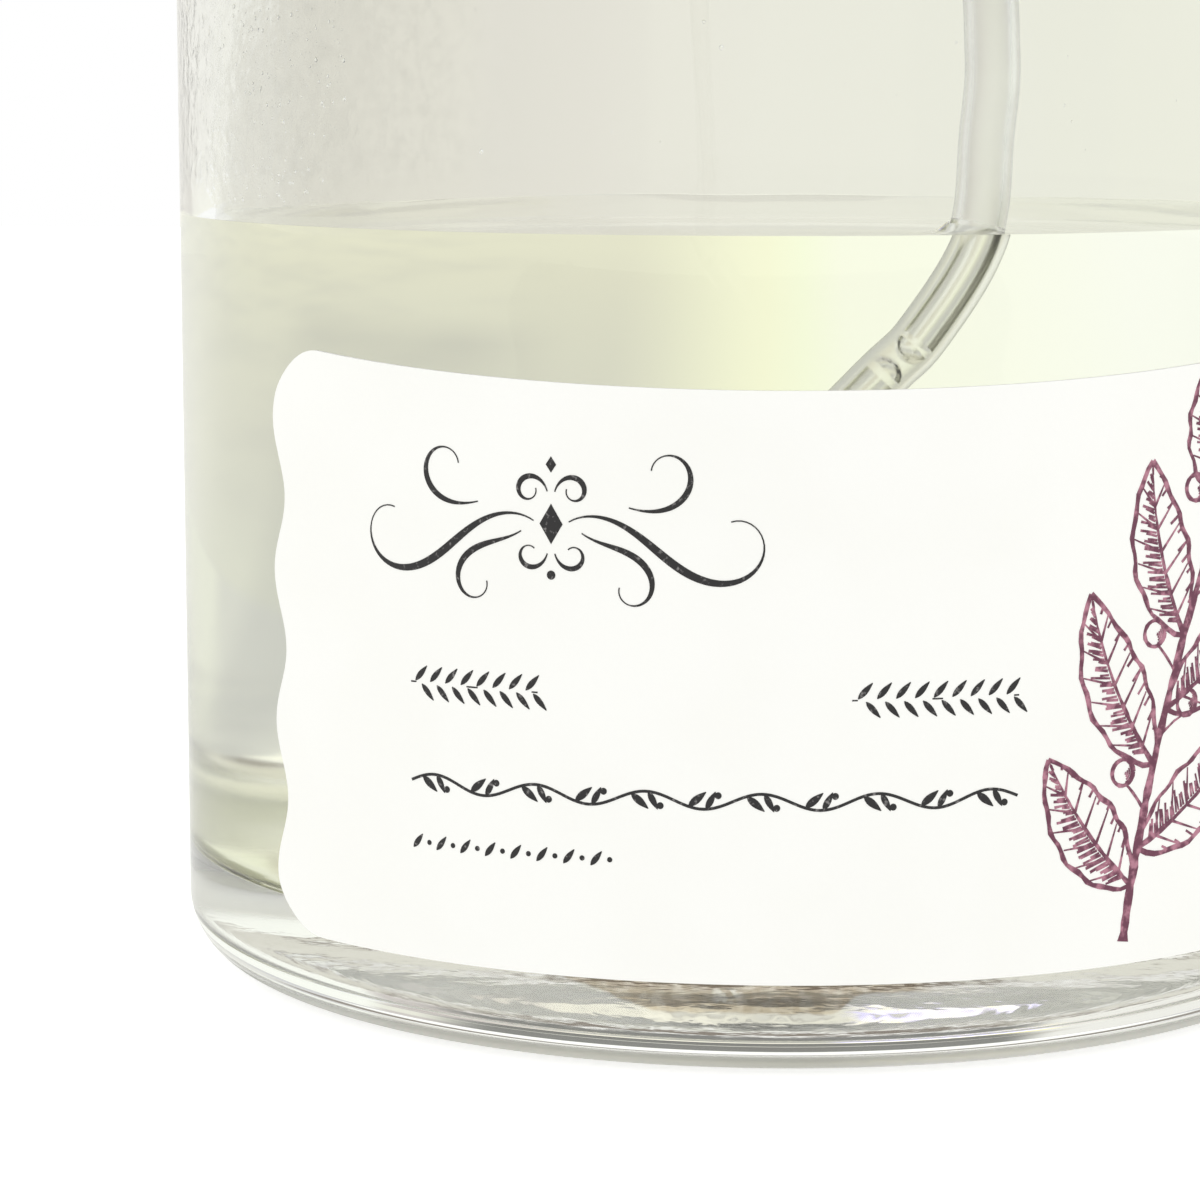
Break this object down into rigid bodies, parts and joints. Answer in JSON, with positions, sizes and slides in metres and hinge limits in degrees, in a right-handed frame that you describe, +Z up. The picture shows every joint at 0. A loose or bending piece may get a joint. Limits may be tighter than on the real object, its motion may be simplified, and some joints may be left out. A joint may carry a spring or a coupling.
{
  "type": "perfume spray bottle",
  "caption": "Round clear-glass perfume bottle with a heavy base and a wavy-edged front label, part filled, with a crimped spray pump, dip tube, spray button and clear overcap.",
  "frame": {"origin": "on the surface that the bottle stands on, under the bottle's axis", "axes": "+Z up along the bottle's axis; -Y is the front, where the label and the spray nozzle face; +X is to the right seen from the front"},
  "size_m": [0.05, 0.0505, 0.1134],
  "materials": {
    "flint_glass": "clear, polished",
    "perfume_liquid": "clear pale yellow liquid",
    "label_paper": "uncoated white paper, printed black and plum",
    "tube_plastic": "translucent natural polyethylene",
    "gasket_rubber": "matt grey",
    "spring_steel": "bright drawn stainless steel",
    "white_moulding": "white moulded polypropylene",
    "satin_aluminium": "satin anodised",
    "clear_acrylic": "clear, polished"
  },
  "bodies": {
    "bottle": {"glass_bottle": "flint_glass", "perfume": "perfume_liquid", "front_label": "label_paper", "dip_tube": "tube_plastic", "neck_gasket": "gasket_rubber", "pump_housing": "tube_plastic", "inlet_ball": "spring_steel", "return_spring": "spring_steel", "closure_insert": "white_moulding", "crimp_ferrule": "satin_aluminium", "collar": "satin_aluminium", "overcap": "clear_acrylic"},
    "stem": {"pump_stem": "white_moulding", "piston": "white_moulding"},
    "actuator": {"button_sleeve": "satin_aluminium", "button_core": "white_moulding", "nozzle_insert": "white_moulding"}
  },
  "joints": [
    {"name": "actuator_press", "type": "slide", "parent": "bottle", "child": "stem", "axis": [0, 0, 1], "range_m": [-0.004, 0], "stiffness_N_per_m": 400, "springref_m": 0.005, "deforming": ["return_spring"]},
    {"name": "actuator_swivel", "type": "hinge", "parent": "stem", "child": "actuator", "pos_m": [0, 0, 0.0966], "axis": [0, 0, 1], "continuous": true}
  ]
}
